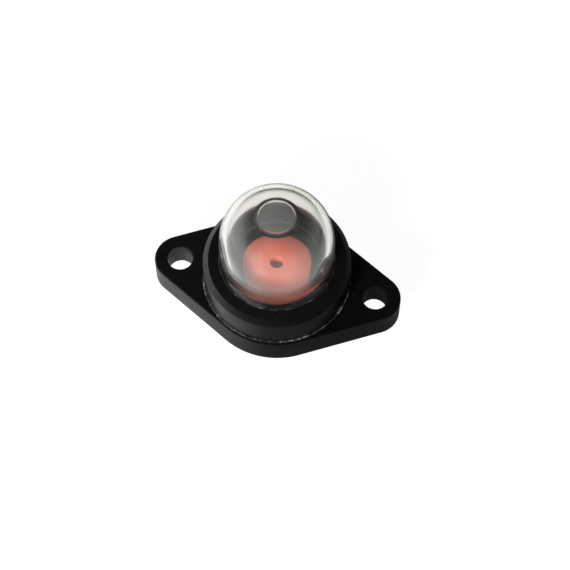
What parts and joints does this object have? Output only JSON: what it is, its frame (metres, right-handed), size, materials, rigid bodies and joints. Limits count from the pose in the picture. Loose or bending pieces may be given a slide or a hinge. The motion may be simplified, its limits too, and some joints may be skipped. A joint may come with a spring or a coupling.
{
  "type": "primer bulb",
  "caption": "Flange-mounted fuel primer bulb: clear squeeze bulb clamped in a black ring over a red umbrella valve, with a screw hole at each end and hose nipples behind.",
  "frame": {"origin": "middle of the flange's flat back face, on the bulb's axis", "axes": "+Z out of the panel along the bulb's axis, from the flange towards the bulb's crown; +X along the line of the two screw holes; the hose nipples point along -Z"},
  "size_m": [0.0476, 0.0286, 0.0392],
  "materials": {
    "body": "satin black moulded plastic",
    "ring": "satin black moulded plastic, a little glossier than the body",
    "bulb": "clear flexible plastic, faintly milky",
    "valve": "smooth salmon-red silicone rubber"
  },
  "bodies": {
    "root": {"base_body": "body", "retaining_ring": "ring", "bulb": "bulb", "check_valve": "valve"}
  },
  "joints": []
}
